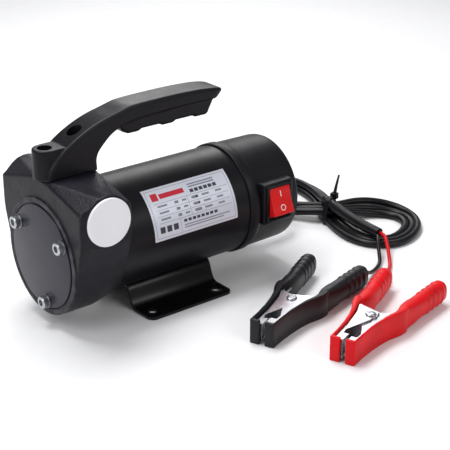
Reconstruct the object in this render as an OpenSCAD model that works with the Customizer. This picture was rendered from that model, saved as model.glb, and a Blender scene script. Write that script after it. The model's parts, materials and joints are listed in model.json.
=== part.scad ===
// Portable electric vane pump for fluid transfer: a sliding-vane pump head
// bolted to a permanent-magnet DC motor, with a carry handle, a foot bracket,
// a rocker switch and a tied battery lead that ends in two spring clamps.
// Millimetres.  +Z is up, the motor shaft runs along X, the pump head is at -X.
// The origin is the centre of the four foot holes, on the surface it stands on.

/* [Motor] */
// Height of the motor shaft above the surface it stands on
shaft_z = 60; // [58:1:64]
// Outer radius of the motor drum
drum_r = 44; // [43:0.5:45]
// Wall thickness of the motor drum
drum_wall = 2; // [1.5:0.5:2.5]
// Front end of the drum, where it meets the pump head
drum_x0 = -58; // [-58:1:-57]
// Rear end of the drum, where the plastic end cap starts
drum_x1 = 62.5; // [62:0.5:64]
// Rear face of the plastic end cap
cap_x1 = 114; // [112:1:118]
// Radius of the motor shaft
shaft_r = 6; // [5.5:0.5:6]

/* [Pump head] */
// Front face of the head's shoulder block
head_x0 = -102; // [-103:1:-101]
// Half width of the head across its two side faces
head_half_w = 54.5; // [52:0.5:56]
// Height of the head's top at its two side faces
shoulder_z = 114.8; // [114:0.2:116]
// Height of the shoulder corners on the front and rear faces
corner_z = 104.2; // [103:0.2:106]
// Height of the flat on top of the head, under the handle
roof_z = 117.5; // [116:0.5:119]
// How far the round chamber sits below the shaft
eccentricity = 4.5; // [4:0.5:4.5]
// Radius of the round front rim
rim_r = 46; // [45:0.5:47]
// Radius of the working chamber
chamber_r = 29.5; // [29.5:0.5:30]
// Height of the two port centres
port_z = 95.5; // [94:0.5:97]
// Position of the two ports along the shaft
port_x = -80; // [-81:1:-79]
// Wall radius of the tapped ports
port_r = 12.1; // [11.8:0.1:12.3]

/* [Foot bracket] */
// Length of the bracket along the motor
foot_len = 80; // [76:1:84]
// Width of the bracket across both flanges
foot_w = 100; // [96:1:104]
// Sheet thickness of the bracket
foot_t = 2.5; // [2:0.5:3]
// Hole spacing along the motor
foot_dx = 62; // [60:1:64]
// Hole spacing across the motor
foot_dy = 78; // [76:1:80]
// Radius of the foot holes
foot_hole_r = 3.5; // [3:0.25:4]

/* [Handle] */
// Full width of the handle
handle_w = 25; // [24:1:27]
// Positions of the two handle screws along the motor
handle_screw_x = [-96, -70];

/* [Switch] */
// Centre of the switch along the motor
switch_x = 89; // [88:1:90]
// Centre of the switch in height
switch_z = 65; // [64.5:0.5:65.5]
// Outer face of the moulded pad that the switch sits on
pad_y = -47; // [-47.5:0.5:-46.5]

/* [Battery lead] */
// Outer diameter of the two-core lead
cord_d = 6.5; // [6:0.5:7]
// Outer diameter of the single wires to the clamps
wire_d = 3.2; // [3:0.1:3.4]
// Height of the hank where its passes cross
hank_h = 11.6; // [11:0.1:13]
// Height of the hank where a single layer lies on the floor
one_pass_h = 7; // [6.5:0.1:7.2]

/* [Battery clamps] */
// Height of a clamp as it lies on its side
clamp_h = 20; // [19:1:20]
// Pivot of the black clamp, seen from above
black_at = [46, -113];
// Direction of the black clamp's handles
black_turn = 22; // [20:1:24]
// Pivot of the red clamp, seen from above
red_at = [74, -170];
// Direction of the red clamp's handles
red_turn = 21; // [19:1:23]

/* [Hidden] */
$fn = 48;

// Colours
casting_black = [0.10, 0.10, 0.13];
paint_black = [0.06, 0.06, 0.07];
plastic_black = [0.09, 0.09, 0.10];
steel = [0.75, 0.76, 0.78];
copper = [0.75, 0.42, 0.22];
red_plastic = [0.78, 0.07, 0.09];

// Pump head stations along X
chamber_z = shaft_z - eccentricity;
rim_x = head_x0 - 1.5;
plate_x0 = rim_x - 0.5;
plate_x1 = plate_x0 + 5;
chamber_x1 = plate_x1 + 22;
plate_r = 40;
cover_pcr = 35.5;
cover_angles = [32, 150, 262];
boss_r = 20;
port_face_y = head_half_w + 1.5;
port_floor_y = 16;
bypass_r = 6;
bearing_r = 14;
rotor_r = 24.85;
vane_count = 5;
retainer_y = 34;
washer_t = 1;
head_h = 4.5;

// Motor stations along X
bolt_y = 38.5;
core_x = [-38, 24];
comm_x = [38, 56];
brush_plate_x = [57, 61];
holder_x = [40, 57];

// Switch stations
bezel_y = pad_y - 1.5;
rocker_pivot_y = -44;
rocker_tilt = -19;

// Handle outline, side view [x, z]; the grip's wide upper part
handle_base_z = roof_z;
handle_top = [
    [head_x0, handle_base_z], [-97, 127], [-89, 135.5], [-80, 142], [-70, 147.5],
    [-60, 152], [-48, 155.8], [-32, 159.4], [-10, 160.8], [20, 161], [45, 159.7],
    [56, 158.4], [60.5, 156.8], [61.6, 155]
];
handle_under = [
    [55.8, 149.5], [34, 150], [8, 149.6], [-19, 148.3], [-31, 147], [-38.5, 144.7],
    [-45, 141.6], [-50, 137.2], [-55.4, 131.7], [-58.8, 125.8], [-61, handle_base_z]
];
boss_top_z = 139.5;

// Routes of the battery lead, [x, y, z]; round numbers chosen by hand
gland_at = [cap_x1, 14, 34];
gland_len = 28;
tie_at = [201, 9.5, 0];
lead_route = [
    [142, 14, 34], [149, 14.2, 33.4], [157, 17, 29.5], [163.5, 23, 23], [167.5, 32.5, 15.5],
    [168.5, 42, 10]
];
sleeve_route = [
    [202, 18.5, 17.5], [199, 8.5, 18.2], [196.6, -4, 17.2], [195, -22, 15], [194.8, -40, 13.2],
    [195.6, -57, 12]
];
black_route = [
    [194, -56, 11.3], [188.5, -62.5, 11.8], [182.5, -69, 10.5], [176, -77, 6.5], [170, -84, 3],
    [163, -89, 2], [155, -93, 2.2], [146, -97, 4], [138, -100.5, 7.5], [128.9, -104.6, 10]
];
red_route = [
    [197, -56, 12.3], [195, -64, 12], [190.5, -71, 10.5], [185, -79, 6], [178.5, -87, 2.6],
    [172, -94, 2], [164, -100.5, 2.2], [156, -107, 4.5], [149, -112.5, 7.5], [140.3, -119.6, 10]
];

// Outlines of the hank's two loops and its crossing, seen from above
loop_right_outer = [
    [187, -5], [181, -21.5], [179, -38], [180, -55], [189, -68.5], [203.5, -75], [220, -73],
    [236.5, -67], [252, -57], [263, -43.5], [267, -28], [264, -12], [255, 1.5], [243, 11], [227, 17.5],
    [200, 10]
];
loop_right_inner = [
    [203, -12], [200, -28], [200, -41], [205, -51], [214, -54], [225.5, -51], [238, -43],
    [246, -33], [247, -22], [240, -13], [228.5, -7], [216, -4]
];
loop_left_outer = [
    [184, 20], [169.5, 29], [159, 47.5], [149, 69.5], [147, 96], [158.5, 118.5], [182, 131], [209, 131],
    [231, 119], [242, 93], [241, 66], [233, 41], [221, 20], [202, 8]
];
loop_left_inner = [
    [186.5, 39], [177, 56.5], [167.5, 75], [166, 92], [174, 105.5], [188, 112], [205, 112], [217, 103],
    [223, 89.5], [222, 70.5], [215, 49], [203, 34]
];
crossing_outline = [
    [187, -4], [200, -10], [218, -4], [238, 3], [236, 13], [222, 22], [206, 32], [186, 38], [172, 28],
    [184, 12]
];

// ---------- helpers ----------

// Extrudes a [y, z] outline along X from x0 to x1
module along_x(x0, x1) {
    translate([x0, 0, 0]) rotate([90, 0, 90]) linear_extrude(x1 - x0) children();
}

// Extrudes an [x, z] outline along Y, centred, to width w
module across_y(w) {
    translate([0, w / 2, 0]) rotate([90, 0, 0]) linear_extrude(w) children();
}

// Cylinder along X between two stations
module rod_x(x0, x1, r, y = 0, z = shaft_z) {
    translate([x0, y, z]) rotate([0, 90, 0]) cylinder(h = x1 - x0, r = r);
}

// Cylinder along Y between two stations
module rod_y(y0, y1, r, x = port_x, z = port_z) {
    translate([x, y0, z]) rotate([-90, 0, 0]) cylinder(h = y1 - y0, r = r);
}

// Ring along X with a bore
module ring_x(x0, x1, r_out, r_in, z = shaft_z) {
    difference() {
        rod_x(x0, x1, r_out, z = z);
        rod_x(x0 - 1, x1 + 1, r_in, z = z);
    }
}

// Turns an [r, x] outline about the shaft line
module turn_x(angle = 360, start = 0) {
    translate([0, 0, shaft_z]) rotate([start, 0, 0]) rotate([0, 90, 0]) rotate([0, 0, 180])
        rotate_extrude(angle = angle) children();
}

// Repeats its children at both ends of the Y axis
module both_sides() {
    for (side = [-1, 1]) scale([1, side, 1]) children();
}

function unit(v) = v / norm(v);
function tangent(p, i) = unit(p[min(i + 1, len(p) - 1)] - p[max(i - 1, 0)]);
function frames(p, i = 0, n = [0, 0, 1], acc = []) =
    i == len(p) ? acc :
    let (t = tangent(p, i),
         guess = abs(t * n) > 0.95 ? [t.y, t.z, t.x] : n,
         m = unit(guess - (guess * t) * t))
    frames(p, i + 1, m, concat(acc, [[m, cross(t, m)]]));
function catmull(a, b, c, d, t) =
    0.5 * (2 * b + (c - a) * t + (2 * a - 5 * b + 4 * c - d) * t * t
           + (3 * b - a - 3 * c + d) * t * t * t);
function smooth(p, n) = concat(
    [for (i = [0:len(p) - 2]) for (k = [0:n - 1])
        catmull(p[max(i - 1, 0)], p[i], p[i + 1], p[min(i + 2, len(p) - 1)], k / n)],
    [p[len(p) - 1]]);
function smooth_loop(p, n) = let (c = len(p))
    [for (i = [0:c - 1]) for (k = [0:n - 1])
        catmull(p[(i + c - 1) % c], p[i], p[(i + 1) % c], p[(i + 2) % c], k / n)];

// Round tube swept along a list of points
module tube(path, r, sides = 8) {
    f = frames(path);
    last = len(path) - 1;
    points = [for (i = [0:last]) for (k = [0:sides - 1])
        path[i] + r * (cos(360 * k / sides) * f[i][0] + sin(360 * k / sides) * f[i][1])];
    walls = [for (i = [0:last - 1]) for (k = [0:sides - 1]) let (j = (k + 1) % sides)
        [i * sides + k, (i + 1) * sides + k, (i + 1) * sides + j, i * sides + j]];
    ends = [[for (k = [0:sides - 1]) k],
            [for (k = [0:sides - 1]) last * sides + sides - 1 - k]];
    polyhedron(points, concat(walls, ends));
}

// Points of a compression spring along +Z, with its coil radius, length and turns
function helix(r, length, turns, steps = 12) =
    [for (i = [0:turns * steps]) let (a = 360 * i / steps)
        [r * cos(a), r * sin(a), length * i / (turns * steps)]];

// ---------- pump head ----------

module cover_holes() {
    for (a = cover_angles)
        translate([0, cover_pcr * cos(a), chamber_z + cover_pcr * sin(a)]) children();
}

module head_outline() {
    flat = handle_w / 2 + 0.5;
    polygon([
        [-head_half_w, 84], [-head_half_w, shoulder_z], [-flat, roof_z], [flat, roof_z],
        [head_half_w, shoulder_z], [head_half_w, 84], [53.6, 75], [50.5, 66.5],
        [rim_r - 0.5, 58], [0, 50], [-rim_r + 0.5, 58], [-50.5, 66.5], [-53.6, 75]
    ]);
}

// Slanted cut that lowers the top towards a shoulder corner of an end face
module corner_cut(x, facing) {
    tilt = 12;
    slope = 34.6;
    both_sides() translate([x, head_half_w, corner_z]) rotate([-tilt, -facing * slope, 0])
        translate([-60, -80, 0]) cube([120, 160, 30]);
}

module pump_body() {
    taper_x = -77;
    flange_x = -66;
    color(casting_black) difference() {
        union() {
            difference() {
                along_x(head_x0, drum_x0) head_outline();
                corner_cut(head_x0, 1);
                corner_cut(drum_x0, -1);
            }
            rod_x(rim_x, taper_x, rim_r, z = chamber_z, $fn = 96);
            hull() {
                rod_x(taper_x - 1, taper_x, rim_r, z = chamber_z, $fn = 64);
                rod_x(flange_x, flange_x + 1, drum_r + 1.5, $fn = 64);
            }
            rod_x(flange_x, drum_x0, drum_r + 1.5, $fn = 96);
            rod_x(drum_x0, drum_x0 + 6, drum_r - drum_wall - 0.05, $fn = 96);
            both_sides() rod_y(30, port_face_y, boss_r);
        }
        // recess for the cover, with the working chamber behind it
        rod_x(rim_x - 1, plate_x1, plate_r + 0.6, z = chamber_z, $fn = 96);
        rod_x(plate_x1 - 1, chamber_x1, chamber_r, z = chamber_z, $fn = 96);
        // groove for the cover seal
        ring_x(plate_x1 - 0.01, plate_x1 + 1.5, 32.2, 30.3, z = chamber_z);
        // tapped holes for the cover
        cover_holes() rod_x(plate_x1 - 1, plate_x1 + 13, 3.05, z = 0);
        // ports, the bypass seat between them, and the two ways into the chamber
        both_sides() {
            rod_y(port_floor_y, port_face_y + 1, port_r);
            translate([-84, 22, 68]) cylinder(h = port_z - 68, r = 8);
        }
        rod_y(-port_floor_y - 1, port_floor_y + 1, bypass_r);
        // shaft bore, seal seat and front bearing seat
        rod_x(chamber_x1 - 1, drum_x0 + 7, shaft_r + 0.5);
        rod_x(-70, -62, 13);
        rod_x(-62.01, drum_x0 + 7, bearing_r);
        // tapped holes for the handle screws and the through bolts
        for (x = handle_screw_x) translate([x, 0, 103]) cylinder(h = 20, r = 3.05);
        both_sides() rod_x(-66, drum_x0 + 7, 2.05, y = bolt_y);
    }
}

module cover_plate() {
    color([0.16, 0.15, 0.26]) difference() {
        rod_x(plate_x0, plate_x1, plate_r, z = chamber_z, $fn = 96);
        cover_holes() rod_x(plate_x0 - 1, plate_x1 + 1, 3.3, z = 0);
    }
}

module cover_seal() {
    color("dimgray") translate([plate_x1 + 0.75, 0, chamber_z]) rotate([0, 90, 0])
        rotate_extrude() translate([31.25, 0]) circle(r = 0.74, $fn = 16);
}

module cover_screws() {
    head_x = plate_x0 - washer_t;
    color(steel) cover_holes() difference() {
        union() {
            rod_x(head_x - head_h, head_x, 5, z = 0);
            rod_x(head_x, plate_x1 + 11, 3, z = 0);
        }
        rod_x(head_x - head_h - 1, head_x - 2, 2.9, z = 0, $fn = 6);
    }
}

module cover_washers() {
    color(steel) cover_holes() ring_x(plate_x0 - washer_t, plate_x0, 5.3, 3.1, z = 0);
}

module vane_slots(r0, r1, w, x0, x1) {
    for (i = [0:vane_count - 1])
        translate([0, 0, shaft_z]) rotate([360 * i / vane_count + 90, 0, 0])
            translate([x0, r0, -w / 2]) cube([x1 - x0, r1 - r0, w]);
}

module pump_rotor() {
    x0 = plate_x1 + 0.1;
    x1 = chamber_x1 - 0.1;
    color([0.55, 0.56, 0.58]) difference() {
        rod_x(x0, x1, rotor_r, $fn = 96);
        rod_x(x0 - 1, x1 + 1, shaft_r + 0.02);
        vane_slots(12.6, rotor_r + 1, 3.1, x0 - 1, x1 + 1);
        translate([x0 - 1, -2.02, shaft_z - shaft_r - 2.02]) cube([x1 - x0 + 2, 4.04, 4]);
    }
}

module pump_vanes() {
    color([0.25, 0.22, 0.20]) vane_slots(13, 24.5, 3, plate_x1 + 0.2, chamber_x1 - 0.2);
}

module rotor_key() {
    color(steel) translate([plate_x1 + 3, -2, shaft_z - shaft_r - 2]) cube([16, 4, 4]);
}

module shaft_seal() {
    color([0.15, 0.15, 0.15]) difference() {
        rod_x(-69.9, -62.1, 12.95);
        rod_x(-71, -61, shaft_r + 0.08);
        ring_x(-71, -64, 11, 7.5);
    }
}

module bypass_poppet() {
    color([0.80, 0.66, 0.35]) union() {
        rod_y(port_floor_y + 0.05, port_floor_y + 3, 8.5);
        rod_y(4, port_floor_y + 0.05, bypass_r - 0.08);
    }
}

module bypass_spring() {
    start = port_floor_y + 3.6;
    color(steel) translate([port_x, start, port_z]) rotate([-90, 0, 0])
        tube(helix(5.5, retainer_y - start - 0.7, 4), 0.6);
}

module bypass_retainer() {
    color([0.80, 0.66, 0.35]) difference() {
        rod_y(retainer_y, retainer_y + 3, port_r - 0.05);
        for (a = [0:90:270])
            rod_y(retainer_y - 1, retainer_y + 4, 3.2, x = port_x + 7 * cos(a), z = port_z + 7 * sin(a));
    }
}

module port_cap() {
    difference() {
        union() {
            rod_y(port_face_y + 0.05, port_face_y + 2.5, 18.3);
            rod_y(port_face_y - 10, port_face_y + 0.05, port_r - 0.3);
        }
        rod_y(port_face_y - 11, port_face_y + 0.5, port_r - 1.8);
    }
}

module outlet_cap() {
    color([0.95, 0.95, 0.96]) scale([1, -1, 1]) port_cap();
}

module inlet_cap() {
    color([0.95, 0.95, 0.96]) port_cap();
}

module finger_waves() {
    ridge_z = 136.9;
    groove_z = 138.4;
    polygon(concat(
        [[56, 150.5], [-34, 150], [-38, 144]],
        [for (x = [-28, 4]) each [
            [x - 3, groove_z], [x, ridge_z], [x + 11.5, ridge_z], [x + 15.5, groove_z]
        ]],
        [[32, groove_z], [35, ridge_z], [46.8, ridge_z]]));
}

module carry_handle() {
    color(plastic_black) difference() {
        union() {
            across_y(handle_w) polygon(concat(handle_top, handle_under));
            across_y(17) finger_waves();
            translate([handle_screw_x[0], 0, roof_z]) cylinder(h = boss_top_z - roof_z, r = 9.5);
            translate([handle_screw_x[0], -9.5, roof_z]) cube([12, 19, boss_top_z - roof_z]);
        }
        for (x = handle_screw_x) {
            seat = x == handle_screw_x[0] ? 124 : 126;
            translate([x, 0, roof_z - 1]) cylinder(h = 40, r = 3.3);
            translate([x, 0, seat]) cylinder(h = 40, r = 5.6);
        }
    }
}

module handle_screws() {
    color(steel) for (x = handle_screw_x) {
        seat = x == handle_screw_x[0] ? 124 : 126;
        translate([x, 0, 0]) difference() {
            union() {
                translate([0, 0, 104.5]) cylinder(h = seat - 104.5, r = 3);
                translate([0, 0, seat]) cylinder(h = 6, r = 5);
            }
            translate([0, 0, seat + 3]) cylinder(h = 4, r = 2.9, $fn = 6);
        }
    }
}

// ---------- motor ----------

module motor_drum() {
    color(paint_black) ring_x(drum_x0, drum_x1, drum_r, drum_r - drum_wall, $fn = 96);
}

module field_magnets() {
    span = 140;
    color([0.25, 0.25, 0.27]) for (mid = [0, 180])
        turn_x(angle = span, start = mid - span / 2)
            translate([36.6, -40]) square([drum_r - drum_wall - 36.65, 68]);
}

module front_bearing() {
    color(steel) ring_x(-61, drum_x0 + 5, bearing_r - 0.02, shaft_r + 0.05);
}

module rear_bearing() {
    color(steel) ring_x(62, 70, bearing_r - 0.02, shaft_r + 0.05);
}

module motor_shaft() {
    color(steel) difference() {
        rod_x(plate_x1 + 0.5, 72, shaft_r);
        translate([plate_x1 + 2.9, -2.02, shaft_z - shaft_r - 2.02]) cube([16.2, 4.04, 4.05]);
    }
}

module core_slots(r0, r1, w, x0, x1) {
    for (i = [0:11])
        translate([0, 0, shaft_z]) rotate([30 * i, 0, 0])
            translate([x0, r0, -w / 2]) cube([x1 - x0, r1 - r0, w]);
}

module armature_core() {
    color([0.45, 0.46, 0.48]) difference() {
        rod_x(core_x[0], core_x[1], 35.4, $fn = 96);
        rod_x(core_x[0] - 1, core_x[1] + 1, shaft_r + 0.02);
        core_slots(23, 37, 5, core_x[0] - 1, core_x[1] + 1);
    }
}

module armature_windings() {
    over = 9;
    color(copper) union() {
        core_slots(23.2, 33.5, 4.8, core_x[0] - 1, core_x[1] + 1);
        ring_x(core_x[0] - over, core_x[0] - 0.05, 33, 9);
        ring_x(core_x[1] + 0.05, core_x[1] + over, 33, 9);
    }
}

module commutator() {
    color(copper) difference() {
        rod_x(comm_x[0], comm_x[1], 14);
        rod_x(comm_x[0] - 1, comm_x[1] + 1, shaft_r + 0.02);
        core_slots(13, 15, 0.6, comm_x[0] - 1, comm_x[1] - 2);
    }
}

module brush_holder() {
    translate([holder_x[0], -7, 16]) cube([holder_x[1] - holder_x[0] + 0.5, 14, 20]);
}

module brush_plate() {
    color([0.30, 0.24, 0.20]) difference() {
        union() {
            rod_x(brush_plate_x[0], brush_plate_x[1], drum_r - drum_wall - 0.1, $fn = 96);
            rod_x(brush_plate_x[1], 71, 18);
            for (side = [-1, 1])
                translate([0, 0, shaft_z]) scale([1, 1, side]) brush_holder();
        }
        rod_x(brush_plate_x[0] - 1, 63, shaft_r + 1);
        rod_x(62, 72, bearing_r);
        for (side = [-1, 1])
            translate([0, 0, shaft_z]) scale([1, 1, side])
                translate([41.9, -4.1, 15]) cube([10.2, 8.2, 19]);
        both_sides() rod_x(brush_plate_x[0] - 1, brush_plate_x[1] + 1, 2.1, y = bolt_y);
        cap_screw_places() rod_x(brush_plate_x[0] - 1, brush_plate_x[1] + 1, 1.7, z = 0);
    }
}

module brush_block() {
    difference() {
        translate([42, -4, 12]) cube([10, 8, 14]);
        rotate([0, 90, 0]) translate([0, 0, 41]) cylinder(h = 12, r = 14.3);
    }
}

module brush_upper() {
    color([0.12, 0.12, 0.12]) translate([0, 0, shaft_z]) brush_block();
}

module brush_lower() {
    color([0.12, 0.12, 0.12]) translate([0, 0, shaft_z]) scale([1, 1, -1]) brush_block();
}

module brush_coil() {
    translate([47, 0, 26.5]) tube(helix(3, 7, 4), 0.4);
}

module brush_spring_upper() {
    color(steel) translate([0, 0, shaft_z]) brush_coil();
}

module brush_spring_lower() {
    color(steel) translate([0, 0, shaft_z]) mirror([0, 0, 1]) brush_coil();
}

module through_bolts() {
    color(steel) both_sides() {
        rod_x(-65.5, brush_plate_x[1], 2, y = bolt_y);
        rod_x(brush_plate_x[1], brush_plate_x[1] + 3, 3.4, y = bolt_y);
    }
}

module rating_plate() {
    color([0.82, 0.83, 0.86]) turn_x(angle = 54.6, start = 34.3)
        translate([drum_r, -30.5]) square([0.4, 79.5]);
}

module foot_bracket() {
    half_w = foot_w / 2;
    corner = 6;
    flange_y = 28;
    saddle_r = drum_r + 0.1;
    color(paint_black) difference() {
        union() {
            // curved saddle under the drum, with a sloping riser at each side
            along_x(-foot_len / 2, foot_len / 2) {
                intersection() {
                    translate([0, shaft_z]) difference() {
                        circle(r = saddle_r + foot_t, $fn = 96);
                        circle(r = saddle_r, $fn = 96);
                    }
                    translate([-17, 0]) square([34, shaft_z / 2]);
                }
                for (side = [-1, 1]) scale([side, 1]) polygon([
                    [16.5, 19.1], [18.5, 18], [19.9, 16.3], [21.2, 12.5], [23.6, 6.5], [25.4, 4],
                    [28, 2.5], [28, 0], [25.6, 0.2], [23.4, 1.6], [21.4, 5], [18.9, 11.5],
                    [17.7, 15], [16.5, 16.5]
                ]);
            }
            both_sides() {
                // flange with rounded outer corners
                linear_extrude(foot_t) union() {
                    translate([-foot_len / 2, flange_y])
                        square([foot_len, half_w - flange_y - corner]);
                    translate([-foot_len / 2 + corner, half_w - corner - 1])
                        square([foot_len - 2 * corner, corner + 1]);
                    for (x = [-1, 1])
                        translate([x * (foot_len / 2 - corner), half_w - corner]) circle(r = corner);
                }
            }
        }
        for (x = [-1, 1], y = [-1, 1])
            translate([x * foot_dx / 2, y * foot_dy / 2, -1]) cylinder(h = foot_t + 2, r = foot_hole_r);
    }
}

// ---------- end cap and switch ----------

module cap_screw_places() {
    for (a = [90, 214, 326])
        translate([0, 33 * cos(a), shaft_z + 33 * sin(a)]) children();
}

module end_cap() {
    outer = [
        [drum_r - 1.8, drum_x1], [drum_r + 1, drum_x1], [drum_r + 1.6, drum_x1 + 1],
        [drum_r + 1.6, drum_x1 + 8], [drum_r + 0.5, drum_x1 + 10], [drum_r - 0.2, cap_x1 - 3],
        [drum_r - 0.9, cap_x1 - 1], [drum_r - 2.6, cap_x1], [0, cap_x1],
        [0, cap_x1 - 2.5], [drum_r - 4.4, cap_x1 - 2.5], [drum_r - 2.6, cap_x1 - 5],
        [drum_r - 1.8, cap_x1 - 30]
    ];
    pad = [30, 34.5];
    color(plastic_black) difference() {
        union() {
            turn_x($fn = 96) polygon(outer);
            difference() {
                translate([switch_x - pad[0] / 2, pad_y, switch_z - pad[1] / 2]) cube([pad[0], 11.5, pad[1]]);
                rod_x(cap_x1 - 6.5, cap_x1, 80);
            }
        }
        translate([switch_x - 11.4, pad_y - 1, switch_z - 14.25]) cube([22.8, 16, 28.5]);
        rod_x(cap_x1 - 4, cap_x1 + 1, 7, y = gland_at.y, z = gland_at.z);
        cap_screw_places() rod_x(cap_x1 - 4, cap_x1 + 1, 2.2, z = 0);
    }
}

module cap_screws() {
    color(steel) cap_screw_places() {
        rod_x(brush_plate_x[0] + 0.5, cap_x1, 1.65, z = 0);
        rod_x(cap_x1, cap_x1 + 2, 3.5, z = 0);
    }
}

module switch_housing() {
    color([0.05, 0.05, 0.05]) difference() {
        union() {
            translate([switch_x - 13, bezel_y, switch_z - 15.5]) cube([26, 1.5, 31]);
            translate([switch_x - 11.2, pad_y, switch_z - 14.15]) cube([22.4, 22, 28.3]);
        }
        translate([switch_x - 10.6, bezel_y - 1, switch_z - 13.6]) cube([21.2, 15, 27.2]);
        translate([switch_x - 11.5, rocker_pivot_y, switch_z]) rotate([0, 90, 0])
            cylinder(h = 23, r = 1.55);
    }
}

module switch_rocker() {
    color(red_plastic) translate([switch_x, rocker_pivot_y, switch_z]) rotate([rocker_tilt, 0, 0]) {
        translate([-10.2, 0, 0]) rotate([90, 0, 90]) linear_extrude(20.4) polygon([
            [-8.2, 11.2], [-7.6, 6], [-7.3, 0], [-7.6, -6], [-8.2, -11.2],
            [-1, -11.2], [4, -7], [5, 0], [4, 7], [-1, 11.2]
        ]);
        translate([-11.1, 0, 0]) rotate([0, 90, 0]) cylinder(h = 22.2, r = 1.5);
    }
}

module switch_terminals() {
    color([0.8, 0.7, 0.5]) for (x = [-5, 5], z = [-7, 7])
        translate([switch_x + x - 0.4, pad_y + 22, switch_z + z - 3.15]) cube([0.8, 9, 6.3]);
}

module cable_gland() {
    color(plastic_black) translate(gland_at) rotate([0, 90, 0]) union() {
        translate([0, 0, -5]) cylinder(h = 5.1, r = 6.9);
        cylinder(h = 4, r = 9.5);
        translate([0, 0, 3.9]) cylinder(h = gland_len - 3.9, r1 = 7, r2 = 4.4);
    }
}

// ---------- battery lead ----------

module supply_lead() {
    color(paint_black) tube(smooth(lead_route, 2), cord_d / 2);
}

module loop_band(outer, inner) {
    difference() {
        polygon(smooth_loop(outer, 4));
        polygon(smooth_loop(inner, 4));
    }
}

module cord_hank() {
    color(paint_black) {
        linear_extrude(one_pass_h) loop_band(loop_right_outer, loop_right_inner);
        linear_extrude(hank_h) union() {
            loop_band(loop_left_outer, loop_left_inner);
            polygon(smooth_loop(crossing_outline, 4));
        }
    }
}

// Inside of the cable tie, across the tied bundle
module bundle_section() {
    hull() {
        for (a = [-7.6, 7.2]) translate([a, 5]) circle(r = 3.8);
        for (a = [-5.6, 5.2]) translate([a, 11.4]) circle(r = 3.8);
        translate([-2.3, 18.2]) circle(r = 5);
    }
}

module cable_tie() {
    color([0.08, 0.08, 0.08]) translate(tie_at) rotate([0, 0, 18.5]) {
        translate([0, 2.2, 0]) rotate([90, 0, 0]) linear_extrude(4.4) difference() {
            offset(r = 1.1) bundle_section();
            bundle_section();
        }
        translate([3.5, -3.1, 20.5]) cube([5.5, 6.2, 5.2]);
        translate([5.6, -2, 25.5]) rotate([0, 12, 0]) cube([1.2, 4, 17]);
    }
}

module cord_sleeve() {
    color(paint_black) tube(smooth(sleeve_route, 2), 4.6);
}

module black_wire() {
    color([0.08, 0.08, 0.08]) tube(smooth(black_route, 1), wire_d / 2);
}

module red_wire() {
    color(red_plastic) tube(smooth(red_route, 1), wire_d / 2);
}

// ---------- battery clamps ----------
// Each half is drawn on its +v side: u runs from the nose to the handles,
// v across the clamp, and the rivet stands at the origin.

module place_clamp(at, turn, side = 1) {
    translate([at.x, at.y, 0]) rotate([0, 0, turn]) scale([1, side, 1]) children();
}

// Steel half: toothed channel, two ears around the rivet, and a tang for the grip
module jaw(ear_in) {
    ear_t = 1.2;
    wall_z = 2.2 + ear_in;
    ear_z = [wall_z, clamp_h - wall_z - ear_t];
    difference() {
        union() {
            translate([0, 0, wall_z]) linear_extrude(clamp_h - 2 * wall_z) polygon([
                [-45.8, 1], [-45.8, 7.5], [-20, 8.5], [0, 11], [11, 14.5], [12.5, 13.3],
                [3, 9.5], [-18, 7], [-36, 5.5], [-36, 1]
            ]);
            translate([0, 0, 5]) linear_extrude(clamp_h - 10)
                polygon([[8, 13.2], [14, 15.2], [40, 18], [40, 16.6], [14, 13.8], [9, 12]]);
            for (z = ear_z) translate([0, 0, z]) linear_extrude(ear_t) union() {
                polygon([[-30, 6], [-8, -3], [6, -4.5], [12, 13.6], [0, 10.6], [-18, 8]]);
                circle(r = 5);
            }
        }
        translate([0, 0, -1]) cylinder(h = clamp_h + 2, r = 2.55);
        for (z = [5:2.5:clamp_h - 5])
            translate([-48, 1, z]) rotate([45, 0, 0]) cube([11, 1.1, 1.1]);
    }
}

// Plastic half: nose block, cheek, web, and a ribbed handle
module grip() {
    handle_len = 46;
    module obround(r) {
        for (y = [-2.2, 2.2]) translate([y, 0]) circle(r = r);
        translate([-2.2, -r]) square([4.4, 2 * r]);
    }
    difference() {
        union() {
            linear_extrude(clamp_h) polygon([
                [-49, 2.2], [-49, 10.2], [-22, 11.5], [0, 15.5], [10, 20], [17, 21.8], [30, 20.5],
                [40, 23], [40, 12.5], [24, 11.5], [12, 16.8], [0, 12.4], [-20, 9.2], [-46.1, 8.2],
                [-46.1, 2.2]
            ]);
            translate([34, 17.8, clamp_h / 2]) rotate([0, 90, 7]) {
                linear_extrude(handle_len) obround(6.6);
                for (u = [10:8:42]) translate([0, 0, u]) linear_extrude(3.4) obround(7.3);
            }
        }
        // hollow for the steel tang
        translate([0, 0, 4.5]) linear_extrude(clamp_h - 9)
            polygon([[10, 11.5], [11.5, 16.6], [40.3, 19.4], [40.3, 15.4], [16, 13.2]]);
    }
}

module rivet() {
    translate([0, 0, 2.2]) cylinder(h = clamp_h - 4.4, r = 2.5);
    for (z = [0.8, clamp_h - 2.2]) translate([0, 0, z]) cylinder(h = 1.4, r = 4);
}

module clamp_spring() {
    translate([0, 0, 6]) tube(helix(4.2, 8, 4), 0.8);
}

module black_jaw_fixed() { color(steel) place_clamp(black_at, black_turn, -1) jaw(0); }
module black_jaw_moving() { color(steel) place_clamp(black_at, black_turn) jaw(1.4); }
module black_grip_fixed() { color(plastic_black) place_clamp(black_at, black_turn, -1) grip(); }
module black_grip_moving() { color(plastic_black) place_clamp(black_at, black_turn) grip(); }
module black_rivet() { color(steel) place_clamp(black_at, black_turn) rivet(); }
module black_spring() { color(steel) place_clamp(black_at, black_turn) clamp_spring(); }

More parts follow.
